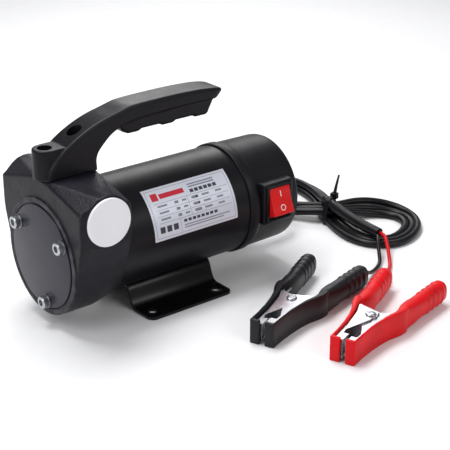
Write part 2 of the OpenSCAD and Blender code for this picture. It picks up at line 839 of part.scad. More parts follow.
module red_jaw_fixed() { color(steel) place_clamp(red_at, red_turn) jaw(0); }
module red_jaw_moving() { color(steel) place_clamp(red_at, red_turn, -1) jaw(1.4); }
module red_grip_fixed() { color(red_plastic) place_clamp(red_at, red_turn) grip(); }
module red_grip_moving() { color(red_plastic) place_clamp(red_at, red_turn, -1) grip(); }
module red_rivet() { color(steel) place_clamp(red_at, red_turn) rivet(); }
module red_spring() { color(steel) place_clamp(red_at, red_turn) clamp_spring(); }

pump_body();
cover_plate();
cover_seal();
cover_screws();
cover_washers();
pump_rotor();
pump_vanes();
rotor_key();
shaft_seal();
bypass_poppet();
bypass_spring();
bypass_retainer();
outlet_cap();
inlet_cap();
carry_handle();
handle_screws();
motor_drum();
field_magnets();
front_bearing();
motor_shaft();
armature_core();
armature_windings();
commutator();
brush_plate();
brush_upper();
brush_lower();
brush_spring_upper();
brush_spring_lower();
rear_bearing();
through_bolts();
rating_plate();
foot_bracket();
end_cap();
cap_screws();
switch_housing();
switch_rocker();
switch_terminals();
cable_gland();
supply_lead();
cord_hank();
cable_tie();
cord_sleeve();
black_wire();
red_wire();
black_jaw_fixed();
black_jaw_moving();
black_grip_fixed();
black_grip_moving();
black_rivet();
black_spring();
red_jaw_fixed();
red_jaw_moving();
red_grip_fixed();
red_grip_moving();
red_rivet();
red_spring();
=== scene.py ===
"""Looks for a portable electric vane pump with a tied battery lead.

Lengths below are millimetres in the row frame until a mesh is made; lights and camera are in metres.
+Z is up, the motor shaft runs along X, the pump head is at -X.
"""

import json
import math

import bmesh
import bpy
from mathutils import Matrix, Vector


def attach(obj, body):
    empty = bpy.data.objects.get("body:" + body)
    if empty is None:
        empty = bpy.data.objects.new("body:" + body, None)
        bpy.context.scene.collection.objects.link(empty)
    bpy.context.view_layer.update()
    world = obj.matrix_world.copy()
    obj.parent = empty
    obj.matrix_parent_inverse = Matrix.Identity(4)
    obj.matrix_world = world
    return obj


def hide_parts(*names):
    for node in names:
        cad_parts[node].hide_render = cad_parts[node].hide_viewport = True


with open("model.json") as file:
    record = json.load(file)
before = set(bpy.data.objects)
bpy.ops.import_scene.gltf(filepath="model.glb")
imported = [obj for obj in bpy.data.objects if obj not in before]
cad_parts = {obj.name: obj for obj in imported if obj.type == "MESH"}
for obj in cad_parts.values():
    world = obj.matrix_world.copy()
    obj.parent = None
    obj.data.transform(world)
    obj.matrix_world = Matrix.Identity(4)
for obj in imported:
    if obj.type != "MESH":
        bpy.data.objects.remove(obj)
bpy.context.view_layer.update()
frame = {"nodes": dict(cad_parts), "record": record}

MM = 0.001
SHAFT_Z = 60.0
CHAMBER_Z = 55.5
PORT_X, PORT_Z = -80.0, 95.5
LEAD_D, WIRE_D = 6.5, 3.2


# ---------------------------------------------------------------- camera, light, floor

def link(obj):
    bpy.context.collection.objects.link(obj)
    return obj


camera_data = bpy.data.cameras.new("camera")
camera_data.lens = 104.63
camera_data.sensor_width = 36.0
camera = link(bpy.data.objects.new("camera", camera_data))
camera.location = (-0.55191, -0.77735, 0.46044)
camera.rotation_euler = (math.radians(66.824), 0.0, math.radians(-38.736))
bpy.context.scene.camera = camera


def area_light(name, place, aim, size, watts):
    data = bpy.data.lights.new(name, "AREA")
    data.shape = "RECTANGLE"
    data.size, data.size_y = size
    data.energy = watts
    lamp = link(bpy.data.objects.new(name, data))
    lamp.location = place
    lamp.rotation_euler = (Vector(aim) - Vector(place)).to_track_quat("-Z", "Y").to_euler()


area_light("top_softbox", (-0.05, 0.25, 1.0), (0.0, 0.0, 0.05), (0.8, 0.35), 8.5)
area_light("left_softbox", (-0.9, -0.1, 0.8), (-0.05, 0.0, 0.06), (0.35, 0.8), 3.6)
area_light("front_fill", (0.35, -1.3, 0.9), (0.05, -0.05, 0.04), (1.0, 0.5), 6.0)
area_light("rear_rim", (0.7, 0.8, 0.7), (0.05, 0.0, 0.08), (0.6, 0.4), 4.0)

world = bpy.data.worlds.new("studio")
world.use_nodes = True
world.node_tree.nodes["Background"].inputs["Color"].default_value = (0.97, 0.98, 1.0, 1)
world.node_tree.nodes["Background"].inputs["Strength"].default_value = 0.28
bpy.context.scene.world = world
bpy.context.scene.view_settings.view_transform = "Standard"


# ---------------------------------------------------------------- materials

def material(name, colour, rough, metal=0.0, vary=0.15, vary_scale=60.0, rough_vary=0.08,
             bump=0.0, bump_scale=900.0, fine=0.0, fine_scale=2500.0, coat=0.0,
             specks=0.0, wear=0.0, wear_colour=(0.35, 0.34, 0.36), stretch=(1, 1, 1), gloss=0.5):
    """A procedural material: mottled colour and gloss, two grades of relief, specks and edge wear."""
    mat = bpy.data.materials.new(name)
    mat.use_nodes = True
    nodes, links = mat.node_tree.nodes, mat.node_tree.links
    shader = nodes["Principled BSDF"]
    shader.inputs["Metallic"].default_value = metal
    shader.inputs["Specular IOR Level"].default_value = gloss
    shader.inputs["Coat Weight"].default_value = coat
    shader.inputs["Coat Roughness"].default_value = 0.12
    coords = nodes.new("ShaderNodeTexCoord")
    mapping = nodes.new("ShaderNodeMapping")
    mapping.inputs["Scale"].default_value = stretch
    links.new(coords.outputs["Object"], mapping.inputs["Vector"])

    def noise(scale, detail=4.0):
        node = nodes.new("ShaderNodeTexNoise")
        node.inputs["Scale"].default_value = scale
        node.inputs["Detail"].default_value = detail
        links.new(mapping.outputs["Vector"], node.inputs["Vector"])
        return node.outputs["Fac"]

    def ramp(fac, low, high, at=(0.3, 0.7)):
        node = nodes.new("ShaderNodeValToRGB")
        node.color_ramp.elements[0].position = at[0]
        node.color_ramp.elements[1].position = at[1]
        node.color_ramp.elements[0].color = (*low, 1)
        node.color_ramp.elements[1].color = (*high, 1)
        links.new(fac, node.inputs["Fac"])
        return node.outputs["Color"]

    def mix(fac, one, two):
        node = nodes.new("ShaderNodeMix")
        node.data_type = "RGBA"
        links.new(fac, node.inputs["Factor"])
        links.new(one, node.inputs["A"])
        if isinstance(two, tuple):
            node.inputs["B"].default_value = (*two, 1)
        else:
            links.new(two, node.inputs["B"])
        return node.outputs["Result"]

    low = tuple(c * (1 - vary) for c in colour)
    high = tuple(min(1.0, c * (1 + vary)) for c in colour)
    surface = ramp(noise(vary_scale), low, high)
    if specks:
        spots = ramp(noise(bump_scale * 0.8, 2.0), (0, 0, 0), (1, 1, 1), (0.70, 0.76))
        scaled = nodes.new("ShaderNodeMath")
        scaled.operation = "MULTIPLY"
        scaled.inputs[1].default_value = specks
        links.new(spots, scaled.inputs[0])
        surface = mix(scaled.outputs[0], surface, wear_colour)
    if wear:
        geometry = nodes.new("ShaderNodeNewGeometry")
        edge = ramp(geometry.outputs["Pointiness"], (0, 0, 0), (1, 1, 1), (0.53, 0.60))
        broken = nodes.new("ShaderNodeMath")
        broken.operation = "MULTIPLY"
        links.new(edge, broken.inputs[0])
        links.new(ramp(noise(140.0), (0, 0, 0), (1, 1, 1), (0.42, 0.62)), broken.inputs[1])
        amount = nodes.new("ShaderNodeMath")
        amount.operation = "MULTIPLY"
        amount.inputs[1].default_value = wear
        links.new(broken.outputs[0], amount.inputs[0])
        surface = mix(amount.outputs[0], surface, wear_colour)
    links.new(surface, shader.inputs["Base Color"])

    spread = nodes.new("ShaderNodeMapRange")
    spread.inputs["To Min"].default_value = max(0.02, rough - rough_vary)
    spread.inputs["To Max"].default_value = min(1.0, rough + rough_vary)
    links.new(noise(vary_scale * 1.7), spread.inputs["Value"])
    links.new(spread.outputs["Result"], shader.inputs["Roughness"])

    normal = None
    for strength, scale, depth in ((bump, bump_scale, 0.00035), (fine, fine_scale, 0.00008)):
        if strength:
            node = nodes.new("ShaderNodeBump")
            node.inputs["Strength"].default_value = strength
            node.inputs["Distance"].default_value = depth
            links.new(noise(scale, 3.0), node.inputs["Height"])
            if normal:
                links.new(normal, node.inputs["Normal"])
            normal = node.outputs["Normal"]
    if normal:
        links.new(normal, shader.inputs["Normal"])
    return mat


CASTING = material("casting_paint", (0.0090, 0.0080, 0.0130), 0.42, vary=0.35, bump=0.8, bump_scale=620,
                   fine=0.5, specks=0.12, wear=0.6, wear_colour=(0.20, 0.19, 0.22), gloss=0.2)
COVER = material("cover_paint", (0.0130, 0.0120, 0.0250), 0.34, vary=0.18, vary_scale=30, fine=0.12, coat=0.12,
                 gloss=0.25)
# The zinc's base colour is kept dark as a painted reflection: it stands in for the dark surroundings that the plated
# parts reflect.
ZINC = material("zinc_plate", (0.46, 0.47, 0.50), 0.32, metal=1.0, vary=0.10, vary_scale=200, fine=0.3)
DRUM = material("drum_paint", (0.0045, 0.0040, 0.0065), 0.38, vary=0.2, fine=0.35, fine_scale=1800, gloss=0.22)
BRACKET = material("bracket_paint", (0.0040, 0.0040, 0.0052), 0.32, vary=0.25, fine=0.3, gloss=0.26)
PLASTIC = material("black_plastic", (0.0058, 0.0050, 0.0078), 0.38, vary=0.2, fine=0.5, fine_scale=3000, gloss=0.2)
CAP_PLASTIC = material("cap_plastic", (0.0055, 0.0050, 0.0075), 0.42, vary=0.2, fine=0.6, fine_scale=3000,
                       gloss=0.2)
WHITE = material("white_plastic", (0.86, 0.87, 0.90), 0.45, vary=0.02, fine=0.2)
PVC = material("cord_pvc", (0.0045, 0.0040, 0.0055), 0.36, vary=0.25, fine=0.2, gloss=0.25)
GRIP_BLACK = material("grip_pvc_black", (0.0065, 0.0055, 0.0075), 0.40, vary=0.2, bump=0.12, bump_scale=300,
                      fine=0.4, gloss=0.3)
GRIP_RED = material("grip_pvc_red", (0.68, 0.004, 0.008), 0.42, vary=0.12, bump=0.10, bump_scale=300,
                    fine=0.3, gloss=0.18)
WIRE_RED = material("wire_pvc_red", (0.60, 0.005, 0.010), 0.40, vary=0.12, gloss=0.2)
ROCKER = material("rocker_red", (0.74, 0.010, 0.010), 0.25, vary=0.08, coat=0.2, gloss=0.3)
MARK = material("mark_white", (0.85, 0.82, 0.80), 0.5, vary=0.03)
FOIL = material("label_foil", (0.66, 0.68, 0.76), 0.38, metal=0.15, vary=0.04, vary_scale=25)
INK = material("label_ink", (0.035, 0.035, 0.05), 0.5, vary=0.1)
INK_GREY = material("label_grey", (0.22, 0.22, 0.27), 0.5, vary=0.1)
INK_RED = material("label_red", (0.52, 0.012, 0.035), 0.45, vary=0.06)
RUBBER = material("seal_rubber", (0.018, 0.018, 0.018), 0.8, bump=0.1)
IRON = material("machined_iron", (0.30, 0.31, 0.33), 0.4, metal=0.9, fine=0.4, stretch=(1, 8, 8))
CARBON = material("graphite", (0.03, 0.03, 0.03), 0.6, fine=0.4)
BRASS = material("machined_brass", (0.72, 0.50, 0.22), 0.3, metal=1.0, fine=0.3)
FERRITE = material("ferrite", (0.06, 0.06, 0.065), 0.7, bump=0.2)
COPPER = material("enamelled_copper", (0.62, 0.22, 0.09), 0.35, metal=0.9, bump=0.5, bump_scale=500)
PHENOLIC = material("phenolic", (0.14, 0.07, 0.035), 0.6, bump=0.2)
FLOOR = material("floor", (0.90, 0.90, 0.91), 0.85, vary=0.01)

SLOT_LOOKS = {
    "casting": CASTING, "cover": COVER, "seal": RUBBER, "steel": ZINC, "sintered_iron": IRON,
    "carbon": CARBON, "brass": BRASS, "white_plastic": WHITE, "black_plastic": PLASTIC,
    "drum_paint": DRUM, "ferrite": FERRITE, "copper": COPPER, "phenolic": PHENOLIC,
    "label_foil": FOIL, "rocker_red": ROCKER, "cord_black": PVC, "red_plastic": GRIP_RED,
}
for part in frame["record"]["subparts"]:
    for place in frame["nodes"][part["node"]].material_slots:
        place.material = SLOT_LOOKS[part["material_slot"]]


# ---------------------------------------------------------------- mesh helpers

def mesh_piece(name, points, faces, mat, sharp=32):
    data = bpy.data.meshes.new(name)
    data.from_pydata([tuple(c * MM for c in p) for p in points], [], faces)
    data.validate()
    data.materials.append(mat)
    obj = link(bpy.data.objects.new(name, data))
    tidy_mesh(obj, sharp)
    return obj


def tidy_mesh(obj, sharp=32):
    """Makes the faces point outward and shades them smooth up to an angle."""
    work = bmesh.new()
    work.from_mesh(obj.data)
    bmesh.ops.remove_doubles(work, verts=work.verts, dist=1e-6)
    bmesh.ops.recalc_face_normals(work, faces=work.faces)
    for face in work.faces:
        face.smooth = True
    work.to_mesh(obj.data)
    work.free()
    obj.data.set_sharp_from_angle(angle=math.radians(sharp))


def settle(obj, sharp=32):
    """Applies the modifiers of an object to its mesh."""
    seen = obj.evaluated_get(bpy.context.evaluated_depsgraph_get())
    mat = obj.data.materials[0]
    data = bpy.data.meshes.new_from_object(seen)
    obj.modifiers.clear()
    obj.data = data
    obj.data.materials.clear()
    obj.data.materials.append(mat)
    tidy_mesh(obj, sharp)
    return obj


def bevelled(obj, width, segments=2, angle=28, sharp=32):
    mod = obj.modifiers.new("bevel", "BEVEL")
    mod.width = width * MM
    mod.segments = segments
    mod.limit_method = "ANGLE"
    mod.angle_limit = math.radians(angle)
    return settle(obj, sharp)


def joined(name, objs):
    work = bmesh.new()
    for obj in objs:
        work.from_mesh(obj.data)
    data = bpy.data.meshes.new(name)
    work.to_mesh(data)
    work.free()
    data.materials.append(objs[0].data.materials[0])
    for obj in objs:
        bpy.data.objects.remove(obj, do_unlink=True)
    return link(bpy.data.objects.new(name, data))


def cut(obj, tool):
    mod = obj.modifiers.new("cut", "BOOLEAN")
    mod.operation = "DIFFERENCE"
    mod.solver = "EXACT"
    mod.object = tool
    settle(obj)
    bpy.data.objects.remove(tool, do_unlink=True)
    return obj


def fused(name, objs, voxel, steps, sharp=60):
    """One skin over several overlapping solids, with small fillets where they meet."""
    obj = joined(name, objs)
    skin = obj.modifiers.new("skin", "REMESH")
    skin.mode = "VOXEL"
    skin.voxel_size = voxel * MM
    soft = obj.modifiers.new("soft", "SMOOTH")
    soft.factor = 0.5
    soft.iterations = steps
    return settle(obj, sharp)


def loft(name, rings, mat, closed=False, sharp=32):
    """Skins rings of points that all have the same number of points."""
    count = len(rings[0])
    points = [p for ring in rings for p in ring]
    faces = []
    spans = len(rings) if closed else len(rings) - 1
    for i in range(spans):
        a, b = i * count, ((i + 1) % len(rings)) * count
        for k in range(count):
            j = (k + 1) % count
            faces.append((a + k, b + k, b + j, a + j))
    if not closed:
        faces.append(tuple(reversed(range(count))))
        last = (len(rings) - 1) * count
        faces.append(tuple(range(last, last + count)))
    return mesh_piece(name, points, faces, mat, sharp)


def lathe(name, profile, mat, axis="X", at=(0.0, 0.0), sides=128, sharp=32):
    """Turns (station, radius) points about an axis; at gives the axis in the other two directions."""
    rings = []
    for station, radius in profile:
        ring = []
        for k in range(sides):
            turn = 2 * math.pi * k / sides
            c, s = radius * math.cos(turn), radius * math.sin(turn)
            if axis == "X":
                ring.append((station, at[0] + c, at[1] + s))
            elif axis == "Y":
                ring.append((at[0] + c, station, at[1] + s))
            else:
                ring.append((at[0] + c, at[1] + s, station))
        rings.append(ring)
    return loft(name, rings, mat, sharp=sharp)


def prism(name, outline, low, high, mat, axis="Z", sharp=32):
    """Extrudes an outline; along X the outline is (y, z), along Y it is (x, z), along Z it is (x, y)."""
    def place(p, h):
        return {"X": (h, p[0], p[1]), "Y": (p[0], h, p[1]), "Z": (p[0], p[1], h)}[axis]
    rings = [[place(p, low) for p in outline], [place(p, high) for p in outline]]
    return loft(name, rings, mat, sharp=sharp)


def box(name, low, high, mat):
    outline = [(low[0], low[1]), (high[0], low[1]), (high[0], high[1]), (low[0], high[1])]
    return prism(name, outline, low[2], high[2], mat)


def hull(name, points, mat):
    work = bmesh.new()
    for p in points:
        work.verts.new([c * MM for c in p])
    result = bmesh.ops.convex_hull(work, input=work.verts)
    loose = [v for v in result["geom_interior"] if isinstance(v, bmesh.types.BMVert)]
    bmesh.ops.delete(work, geom=loose, context="VERTS")
    bmesh.ops.dissolve_limit(work, angle_limit=math.radians(1), verts=work.verts, edges=work.edges)
    data = bpy.data.meshes.new(name)
    work.to_mesh(data)
    work.free()
    data.materials.append(mat)
    obj = link(bpy.data.objects.new(name, data))
    tidy_mesh(obj)
    return obj


def arc(cx, cy, r, start, end, count):
    return [(cx + r * math.cos(math.radians(start + (end - start) * i / count)),
             cy + r * math.sin(math.radians(start + (end - start) * i / count)))
            for i in range(count + 1)]


def circle_points(x, cz, r, count=64):
    return [(x, r * math.cos(2 * math.pi * k / count), cz + r * math.sin(2 * math.pi * k / count))
            for k in range(count)]


def curved(points, per):
    """A Catmull-Rom curve through the points."""
    pts = [Vector(p) for p in points]
    last = len(pts) - 1
    result = []
    for i in range(last):
        a, b = pts[max(i - 1, 0)], pts[i]
        c, d = pts[i + 1], pts[min(i + 2, last)]
        for k in range(per):
            t = k / per
            result.append(0.5 * (2 * b + (c - a) * t + (2 * a - 5 * b + 4 * c - d) * t * t
                                 + (3 * b - a - 3 * c + d) * t ** 3))
    result.append(pts[-1])
    return result


def tube_curve(name, points, radius, mat, around=5):
    data = bpy.data.curves.new(name, "CURVE")
    data.dimensions = "3D"
    data.bevel_depth = radius * MM
    data.bevel_resolution = around
    data.use_fill_caps = True
    line = data.splines.new("POLY")
    line.points.add(len(points) - 1)
    for slot, p in zip(line.points, points):
        slot.co = (p[0] * MM, p[1] * MM, p[2] * MM, 1)
    line.use_smooth = True
    data.materials.append(mat)
    return link(bpy.data.objects.new(name, data))


def tube_mesh(name, points, radii, mat, sides=20, flat=(1, 1)):
    """A mesh tube along points. radii is one radius or one for each point; flat squashes it."""
    pts = [Vector(p) for p in points]
    if not isinstance(radii, (list, tuple)):
        radii = [radii] * len(pts)
    wide, tall = flat
    across = Vector((0, 0, 1))
    rings = []
    for i, p in enumerate(pts):
        ahead = (pts[min(i + 1, len(pts) - 1)] - pts[max(i - 1, 0)]).normalized()
        if abs(ahead.dot(across)) > 0.95:
            across = Vector((ahead.y, ahead.z, ahead.x))
        across = (across - across.dot(ahead) * ahead).normalized()
        side = ahead.cross(across)
        rings.append([tuple(p + radii[i] * (wide * math.cos(2 * math.pi * k / sides) * side
                                            + tall * math.sin(2 * math.pi * k / sides) * across))
                      for k in range(sides)])
    return loft(name, rings, mat, sharp=50)


def eased(points, rounds):
    """Takes the tight corners out of a line of points, its first four and its last staying in place."""
    points = [Vector(p) for p in points]
    for _ in range(rounds):
        points = points[:4] + [(points[i - 1] + 2 * points[i] + points[i + 1]) / 4
                               for i in range(4, len(points) - 1)] + points[-1:]
    return points


def shown(obj, body, slot, *nodes):
    """Puts a piece on a body and hides the CAD nodes that it stands for; the slot argument is not used."""
    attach(obj, body)
    if nodes:
        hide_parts(*nodes)
    return obj


floor = mesh_piece("floor", [(-3000, -3000, 0), (3000, -3000, 0), (3000, 3000, 0), (-3000, 3000, 0)],
                   [(0, 1, 2, 3)], FLOOR)


# ---------------------------------------------------------------- the battery lead

GLAND_AT = (14, 34)
GLAND_END = (142, *GLAND_AT)
LYING_Z = 3.3
SLEEVE_R = 4.7
BEND_ROUNDS = 44
TO_RIGHT, TO_LEFT = (-0.2, -0.98), (-0.62, 0.78)
TIE_AT = Vector((201, 9.5, 0))
TIE_ALONG = Vector((0.318, -0.948, 0))
TIE_ACROSS = Vector((0.948, 0.318, 0))
LEFT_LOOP = [(178, 34), (168, 52), (158, 72), (156, 94), (166, 112), (185, 122), (207, 122), (224, 111),
             (233, 91), (232, 68), (224, 45), (213, 27)]
OUTER = [(189, -8, 3.3), (183.5, -23, 3.3), (181.4, -37.5, 3.3), (184, -50.4, 3.3), (191.2, -61.6, 3.3),
         (202.1, -69.5, 3.3), (216, -71.3, 3.3), (234, -64.6, 3.3), (250, -54.5, 3.3), (260.5, -42, 3.4),
         (264, -28, 4.8), (261, -13, 7.2), (253, -1, 9.4), (241, 8.5, 11.2), (226, 14.5, 12)]
MIDDLE = [(194.5, -9, 3.3), (190, -24, 3.3), (188, -37.5, 3.3), (190.1, -47.8, 3.3), (195.9, -56.8, 3.3),
          (204.7, -63, 3.3), (215, -64.7, 3.3), (230, -60.6, 3.3), (244.2, -52.8, 3.3), (254.2, -42.6, 3.3),
          (257.9, -28.5, 3.4), (254.2, -14.6, 4.6), (243.8, -4.2, 6.6), (229, 4, 8.6)]
INNER = [(199.5, -12, 3.3), (196, -27, 3.3), (194.5, -37.5, 3.3), (196, -45.8, 3.3), (200.5, -53, 3.3),
         (207.1, -57.4, 3.3), (216, -58.4, 3.3), (228.5, -53.8, 3.3), (240.5, -46.7, 3.3), (248.2, -39, 3.3),
         (251.2, -28.5, 3.3), (248.2, -17.8, 3.3), (239.5, -9.8, 3.6), (228, -4, 5.4), (217, 0.6, 7.8)]


def at_tie(across, height, ahead=0.0):
    """A place in the tied bundle."""
    p = TIE_AT + across * TIE_ACROSS + ahead * TIE_ALONG
    return (p.x, p.y, height)


def crossing(heading, side, height):
    """Two places on a strand that goes through the tie, set to its left by side."""
    h = Vector((*heading, 0)).normalized()
    place = TIE_AT + side * Vector((-h.y, h.x, 0))
    return [tuple(place + t * h + Vector((0, 0, height))) for t in (-5, 5)]


def pass_along(route, sides, heights):
    """One pass of the lead around a loop, set to the left of the loop's middle line."""
    result = []
    for i in range(len(route)):
        a, b = route[max(i - 1, 0)], route[min(i + 1, len(route) - 1)]
        t = (Vector(b) - Vector(a)).normalized()
        side, height = sides[min(i, len(sides) - 1)], heights[min(i, len(heights) - 1)]
        result.append((route[i][0] - side * t.y, route[i][1] + side * t.x, height))
    return result


lead_stops = [GLAND_END, (149, 14.6, 33.2), (157, 18, 29.6), (162.5, 25.5, 23), (163.5, 35.5, 15.5),
              (161, 47, 9), (156.5, 58, 4.8)]
lead_stops += pass_along(LEFT_LOOP[2:], [6.6], [LYING_Z])
TURNS = [
    # side at the tie, right loop, then sides and heights along the left loop
    (6.6, INNER, [4, 0], [9, LYING_Z]),
    (0, MIDDLE, [-2.6, -6.6], [9, LYING_Z]),
    (-6.6, OUTER, [-8, -3.3], [11, 9.2]),
]
for side, route, left_sides, left_heights in TURNS:
    lead_stops += crossing(TO_RIGHT, side, 4.6) + route
    lead_stops += crossing(TO_LEFT, side, 11.4) + pass_along(LEFT_LOOP, left_sides, left_heights)
SLEEVE = [(202, 18.5, 17.5), (199, 8.5, 18.2), (196.6, -4, 17.2), (195, -22, 15), (194.8, -40, 13.2),
          (195.6, -57, 12)]
lead_stops += SLEEVE[:-1] + [(195.6, -55, 12.1)]
lead_line = [Vector((p.x, p.y, max(p.z, LYING_Z))) for p in eased(curved(lead_stops, 5), BEND_ROUNDS)]
lead = tube_curve("battery_lead", lead_line, LEAD_D / 2, PVC, around=6)
shown(lead, "pump", "cord_black", "supply_lead", "cord_hank")

sleeve_line = curved(SLEEVE, 8)
sleeve = tube_mesh("lead_sleeve", sleeve_line,
                   [SLEEVE_R - 0.25 * (abs(i / (len(sleeve_line) - 1) - 0.5) * 2) ** 6
                    for i in range(len(sleeve_line))], PVC, sides=28)
shown(sleeve, "pump", "cord_black", "cord_sleeve")

BLACK_ROUTE = [(194, -56, 11.3), (188.5, -62.5, 11.8), (182.5, -69, 10.5), (176, -77, 6.5), (170, -84, 3),
               (163, -89, 2), (155, -93, 2.2), (146, -97, 4), (138, -100.5, 7.5), (128.9, -104.6, 10)]
RED_ROUTE = [(197, -56, 12.3), (195, -64, 12), (190.5, -71, 10.5), (185, -79, 6), (178.5, -87, 2.6),
             (172, -94, 2), (164, -100.5, 2.2), (156, -107, 4.5), (149, -112.5, 7.5), (140.3, -119.6, 10)]
BLACK_CLAMP, RED_CLAMP = ((46, -113), 22), ((74, -170), 21)


def inside_handle(clamp, side):
    """The wire's run from the handle's end to the jaw, as row-frame points."""
    at, turn = clamp
    c, s = math.cos(math.radians(turn)), math.sin(math.radians(turn))
    return [(at[0] + c * u - s * side * v, at[1] + s * u + c * side * v, 10)
            for u, v in ((70, 22.2), (50, 20), (30, 17.5), (14, 14.6), (4, 11))]


black_line = curved(BLACK_ROUTE + inside_handle(BLACK_CLAMP, -1), 4)
red_line = curved(RED_ROUTE + inside_handle(RED_CLAMP, 1), 4)
black_wire = tube_curve("black_lead_wire", black_line, WIRE_D / 2, PVC)
red_wire = tube_curve("red_lead_wire", red_line, WIRE_D / 2, WIRE_RED)
shown(black_wire, "pump", "cord_black", "black_wire")
shown(red_wire, "pump", "red_plastic", "red_wire")


RING_MID = (-0.4, 11)


def tie_ring(grow, steps=48):
    """The closed line round the tied strands and the sleeve, grow outside their own surfaces."""
    # place across, height and radius of each
    strands = [(-7.6, 5, 3.7), (7.2, 5, 3.7), (-5.6, 11.4, 3.7), (5.2, 11.4, 3.7), (-2.3, 18.2, 4.9)]
    ring = []
    for i in range(steps):
        t = 2 * math.pi * i / steps
        reach = max((a - RING_MID[0]) * math.cos(t) + (z - RING_MID[1]) * math.sin(t) + r + grow
                    for a, z, r in strands)
        ring.append((reach, t))
    return [corner(ring[i], ring[(i + 1) % steps]) for i in range(steps)]


def corner(first, second):
    """Where two sides of the ring meet, each given by its reach from the middle and its heading."""
    (p, a), (q, b) = first, second
    d = math.sin(b - a)
    return ((p * math.sin(b) - q * math.sin(a)) / d + RING_MID[0],
            (q * math.cos(a) - p * math.cos(b)) / d + RING_MID[1])


def make_tie():
    half = 2.3
    rings = []
    for (ai, zi), (ao, zo) in zip(tie_ring(0.05), tie_ring(1.2)):
        rings.append([at_tie(ai, zi, -half), at_tie(ai, zi, half), at_tie(ao, zo, half), at_tie(ao, zo, -half)])
    band = loft("tie_band", rings, PLASTIC, closed=True)
    head = [at_tie(a, z, h) for a in (3.2, 8.6) for z in (20.0, 25.4) for h in (-3.1, 3.1)]
    block = hull("tie_block", head, PLASTIC)
    stops = ((6.2, 23, 0), (7.2, 29, 0.4), (8.6, 35, 1.0), (10.2, 41.5, 1.8))
    tail_line = curved([at_tie(*stop) for stop in stops], 6)
    radii = [2.1 - 1.2 * max(0, i / (len(tail_line) - 1) - 0.3) for i in range(len(tail_line))]
    tail = tube_mesh("tie_tail", tail_line, radii, PLASTIC, sides=12, flat=(1, 0.3))
    return joined("cable_tie_band", [bevelled(band, 0.3, 1), bevelled(block, 0.5, 2), tail])


shown(make_tie(), "pump", "black_plastic", "cable_tie")


# ---------------------------------------------------------------- pump head

def make_casting():
    x0, x1 = -102.3, -58.3
    corners = []
    for s in (-1, 1):
        for x in (x0, x1):
            corners += [(x, s * 9, 115.9), (x, s * 54.5, 104.2), (x, s * 54.5, 84),
                        (x, s * 53.6, 76), (x, s * 50.8, 67)]
        corners += [(x0 + 2.4, s * 12, 117.3), (-61, s * 12, 117.3), (x0 + 15, s * 54.5, 114.8),
                    (x1 - 15, s * 54.5, 114.8)]
    for x in (x0, x1):
        corners += circle_points(x, CHAMBER_Z, 45.9) if x == x0 else circle_points(x, SHAFT_Z, 45.4)
    block = hull("block", corners, CASTING)
    belly = hull("belly", circle_points(-102.6, CHAMBER_Z, 46) + circle_points(-77, CHAMBER_Z, 46)
                 + circle_points(-64, SHAFT_Z, 45.5) + circle_points(-58.2, SHAFT_Z, 45.5), CASTING)
    bosses = [lathe("boss", [(s * 40, 20), (s * 56, 20)], CASTING, "Y", (PORT_X, PORT_Z)) for s in (-1, 1)]
    return fused("head_casting", [block, belly] + bosses, 0.9, 5)


shown(make_casting(), "pump", "casting", "pump_body")
shown(lathe("rim_ring", [(-100, 45.6), (-102.7, 46.0), (-103.1, 45.9), (-103.5, 45.4), (-103.5, 41.7),
                         (-103.2, 41.2), (-101.0, 41.0), (-101.0, 30)], CASTING, at=(0, CHAMBER_Z)),
      "pump", "casting")
shown(lathe("front_plate", [(-101.2, 40.2), (-103.5, 40.3), (-103.9, 40.0), (-104.0, 39.6), (-104.0, 0.5)],
            COVER, at=(0, CHAMBER_Z)), "pump", "cover", "cover_plate")


KNURL_DEPTH = 0.12


def socket_screw(name, x, y, z, out, radius, height, key, sides=48):
    """A socket cap screw along X whose head stands out from x in direction out."""
    face = x + out * height
    rings, deep = [], face - out * height * 0.55
    outline = [(x, radius), (face - out * 0.6, radius), (face, radius - 0.6)]
    for station, r in outline:
        ring = []
        for k in range(sides):
            turn = 2 * math.pi * k / sides
            knurled = r - (KNURL_DEPTH if k % 2 and station != face else 0)
            ring.append((station, y + knurled * math.cos(turn), z + knurled * math.sin(turn)))
        rings.append(ring)

    def hex_ring(station, r):
        ring = []
        for k in range(sides):
            turn = 2 * math.pi * k / sides
            flat = (turn % (math.pi / 3)) - math.pi / 6
            reach = r * math.cos(math.pi / 6) / math.cos(flat)
            ring.append((station, y + reach * math.cos(turn), z + reach * math.sin(turn)))
        return ring
    rings += [hex_ring(face, key), hex_ring(deep, key)]
    return loft(name, rings, ZINC, sharp=25)


def spring_washer(name, x, y, z, out, thick):
    gap = math.radians(8)
    rings = []
    for i in range(49):
        turn = gap + (2 * math.pi - 2 * gap) * i / 48
        lift = 0.25 * (i / 48 - 0.5)
        rings.append([(x + out * (h * thick + lift * 0.5), y + r * math.cos(turn), z + r * math.sin(turn))
                      for h, r in ((0, 3.2), (0, 5.3), (1, 5.3), (1, 3.2))])
    return bevelled(loft(name, rings, ZINC), 0.12, 1)


COVER_SCREW_RING = 35.5
COVER_SCREWS = [(COVER_SCREW_RING * math.cos(math.radians(a)),
                 CHAMBER_Z + COVER_SCREW_RING * math.sin(math.radians(a))) for a in (32, 150, 262)]
screws = joined("cover_cap_screws",
                [socket_screw("screw", -105.0, y, z, -1, 5, 4.5, 2.9) for y, z in COVER_SCREWS])
shown(screws, "pump", "steel", "cover_screws")
washers = joined("cover_lock_washers",
                 [spring_washer("washer", -104.05, y, z, -1, 0.9) for y, z in COVER_SCREWS])
shown(washers, "pump", "steel", "cover_washers")

